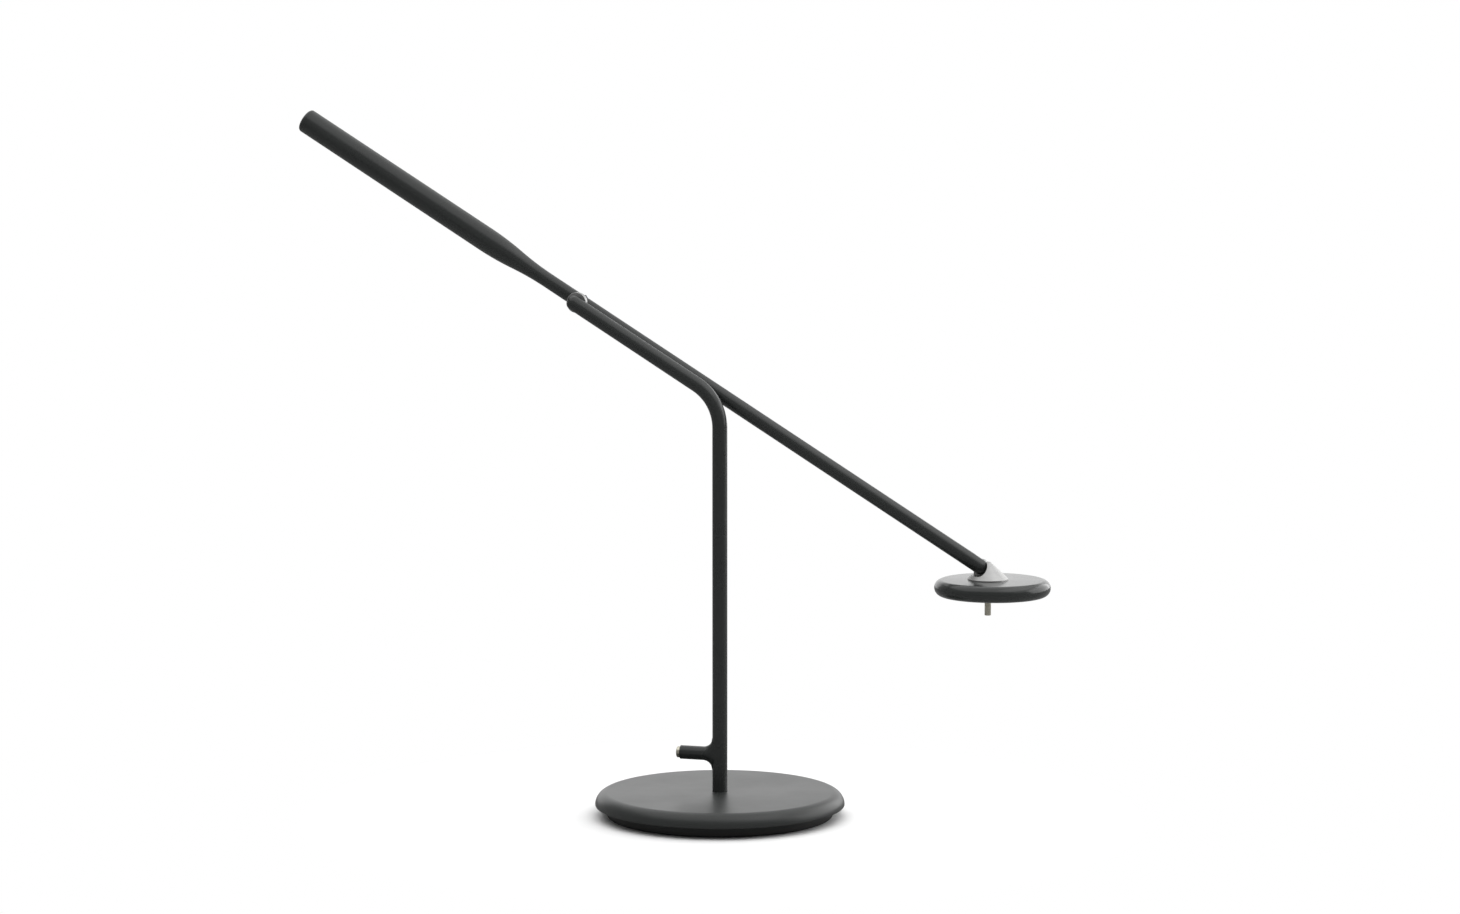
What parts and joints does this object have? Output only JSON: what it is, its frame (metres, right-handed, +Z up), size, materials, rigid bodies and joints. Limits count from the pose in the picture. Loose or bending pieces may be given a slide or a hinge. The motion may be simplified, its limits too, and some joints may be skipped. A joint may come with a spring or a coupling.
{
  "type": "counterweight balance desk lamp",
  "caption": "Balance desk lamp: a weighted round base, a bent swivel post and a long pivoted arm that carries a slim disc head at one end and a counterweight at the other.",
  "frame": {"origin": "centre of the base on the table, under the post", "axes": "+Z up along the post, +X from the post towards the lamp head, +Y away from the camera, towards the side on which the arm is pivoted"},
  "size_m": [0.6284, 0.2, 0.5611],
  "materials": {
    "black_coat": "satin powder coat",
    "arm_coat": "satin powder coat",
    "ballast": "as cast",
    "satin_steel": "satin turned",
    "plain_steel": "zinc plated",
    "brass": "satin turned",
    "bearing_bronze": "turned",
    "foot_rubber": "matt",
    "black_plastic": "matt moulded",
    "opal_plastic": "opal",
    "board": "white solder mask",
    "sink": "turned",
    "chip": "yellow phosphor",
    "insulation": "matt"
  },
  "bodies": {
    "base": {"base_cover": "black_coat", "base_ballast": "ballast", "base_foot": "black_coat", "foot_pad": "foot_rubber", "base_screws": "plain_steel", "lead_inlet": "black_plastic", "swivel_bush": "bearing_bronze", "base_lead": "insulation"},
    "post": {"post_tube": "black_coat", "post_spigot": "plain_steel", "swivel_washer": "plain_steel", "swivel_nut": "plain_steel", "post_end_plug": "black_coat", "pivot_disc": "satin_steel", "pivot_bolt": "plain_steel", "spring_washer": "plain_steel", "pivot_nut": "plain_steel", "dimmer_module": "black_plastic", "post_lead": "insulation"},
    "button": {"dimmer_button": "brass"},
    "arm": {"arm_tube": "arm_coat", "arm_hub": "plain_steel", "counterweight_core": "plain_steel", "rear_cap": "black_coat", "friction_washer": "black_plastic", "arm_lead": "insulation", "arm_end_plug": "arm_coat", "hinge_screw": "plain_steel", "hinge_washers": "black_plastic"},
    "head": {"head_neck": "satin_steel", "head_cover": "arm_coat", "diffuser": "opal_plastic", "diffuser_ring": "arm_coat", "heat_sink": "sink", "lamp_board": "board", "light_chips": "chip", "board_screws": "plain_steel", "aim_pin": "brass", "head_lead": "insulation"}
  },
  "joints": [
    {"name": "post_swivel", "type": "hinge", "parent": "base", "child": "post", "pos_m": [0, 0, 0.0153], "axis": [0, 0, 1], "range_deg": [-170, 170]},
    {"name": "arm_tilt", "type": "hinge", "parent": "post", "child": "arm", "pos_m": [-0.1222, 0.016, 0.4093], "axis": [0, 1, 0], "range_deg": [-60, 24]},
    {"name": "head_tilt", "type": "hinge", "parent": "arm", "child": "head", "pos_m": [0.20959, 0.016, 0.20757], "axis": [0, 1, 0], "range_deg": [-36, 26]},
    {"name": "dimmer_press", "type": "slide", "parent": "post", "child": "button", "axis": [1, 0, 0], "range_m": [0, 0.0012], "stiffness_N_per_m": 800, "springref_m": -0.0015}
  ]
}
